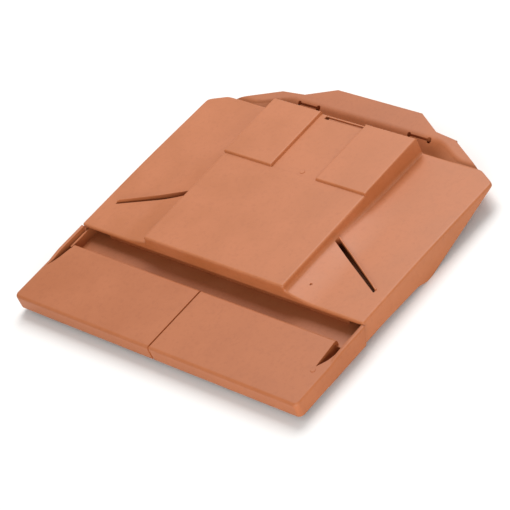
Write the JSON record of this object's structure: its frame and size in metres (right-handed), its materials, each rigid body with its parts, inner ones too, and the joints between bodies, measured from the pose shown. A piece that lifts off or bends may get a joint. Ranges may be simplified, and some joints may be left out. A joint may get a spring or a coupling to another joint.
{
  "type": "roof vent tile",
  "caption": "In-line roof vent in moulded plastic that replaces plain tiles: tile-faced base tray with a trough air inlet and throat, under a raised tile-faced cover with wings.",
  "frame": {"origin": "centre of the bounding box in plan, at the height of the underside's lowest edges", "axes": "+X across the roof, +Y up the slope from the tile-faced front edge, +Z away from the roof, square to the tile faces"},
  "size_m": [0.33, 0.302, 0.035],
  "materials": {
    "base_plastic": "satin moulded, terracotta",
    "cover_plastic": "satin moulded, terracotta"
  },
  "bodies": {
    "root": {"vent_base": "base_plastic", "vent_cover": "cover_plastic"}
  },
  "joints": []
}
